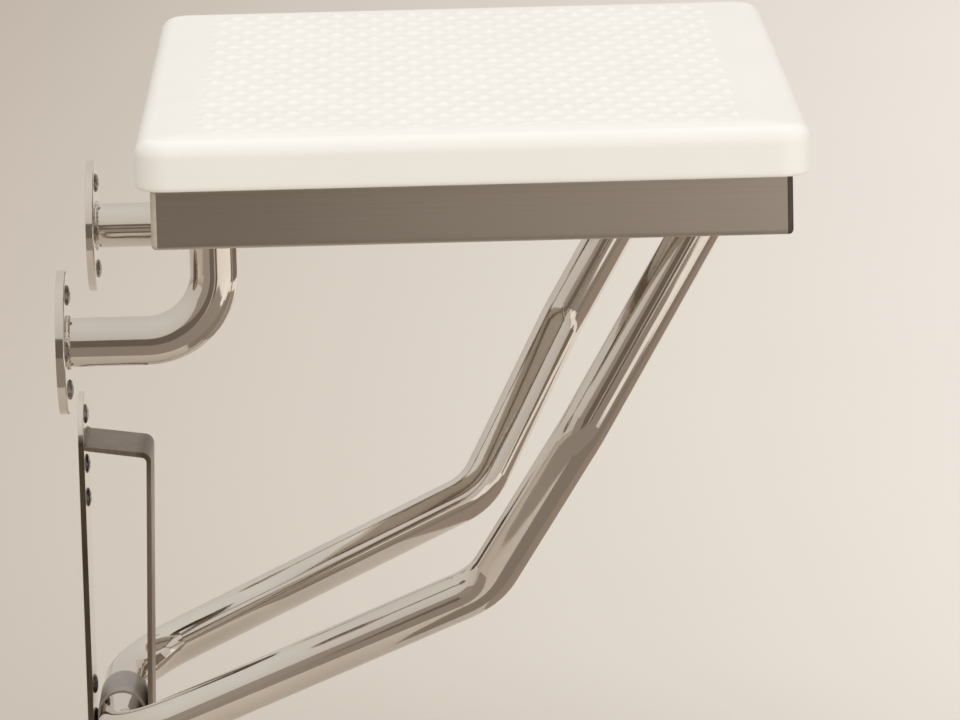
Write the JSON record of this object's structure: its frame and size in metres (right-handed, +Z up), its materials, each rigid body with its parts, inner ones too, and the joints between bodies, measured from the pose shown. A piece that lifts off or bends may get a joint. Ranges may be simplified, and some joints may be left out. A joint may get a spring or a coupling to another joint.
{
  "type": "fold down wall seat",
  "caption": "Wall-mounted folding seat with a white padded top on two bent-tube brackets and a U-shaped tube leg that slides in a wall guide.",
  "frame": {"origin": "centre of the guide plate's wall face, on the wall plane", "axes": "+X points out of the wall, +Y runs along the wall to the sitter's left, +Z is up"},
  "size_m": [0.3899, 0.457, 0.402],
  "materials": {
    "polished_steel": "polished",
    "satin_steel": "satin",
    "screw_steel": "satin",
    "white_pad": "satin",
    "seat_board": "matte",
    "nylon": "matte"
  },
  "bodies": {
    "wall_mount": {"mounting_flange_left": "polished_steel", "mounting_flange_right": "polished_steel", "bracket_tube_left": "polished_steel", "bracket_tube_right": "polished_steel", "bracket_end_caps": "nylon", "pivot_bushings": "nylon", "flange_screws": "screw_steel", "guide_plate": "polished_steel", "guide_strap": "satin_steel", "guide_screws": "screw_steel"},
    "seat": {"seat_pad": "white_pad", "seat_base": "seat_board", "side_rail_left": "satin_steel", "side_rail_right": "satin_steel", "rail_end_plugs": "satin_steel", "front_cross_rail": "satin_steel", "rear_cross_rail": "satin_steel", "pad_screws": "screw_steel", "pivot_bolts": "screw_steel", "pivot_washers": "screw_steel", "pivot_nuts": "screw_steel", "leg_bosses": "screw_steel"},
    "slider": {"guide_sleeve": "nylon"},
    "leg": {"leg_frame": "polished_steel", "leg_end_caps": "nylon", "leg_bushings": "nylon", "leg_bolts": "screw_steel"}
  },
  "joints": [
    {"name": "seat_fold", "type": "hinge", "parent": "wall_mount", "child": "seat", "pos_m": [0.082, 0, 0.24532], "axis": [0, -1, 0], "range_deg": [0, 90]},
    {"name": "leg_slide", "type": "slide", "parent": "wall_mount", "child": "slider", "axis": [0, 0, 1], "range_m": [0, 0.1307]},
    {"name": "leg_swing", "type": "hinge", "parent": "slider", "child": "leg", "pos_m": [0.01885, 0, -0.065], "axis": [0, -1, 0], "range_deg": [0, 38.04]}
  ],
  "couplings": [
    {"joint": "leg_slide", "follows": "seat_fold", "m_per_rad": 0.083144},
    {"joint": "leg_swing", "follows": "seat_fold", "ratio": 0.42257}
  ]
}
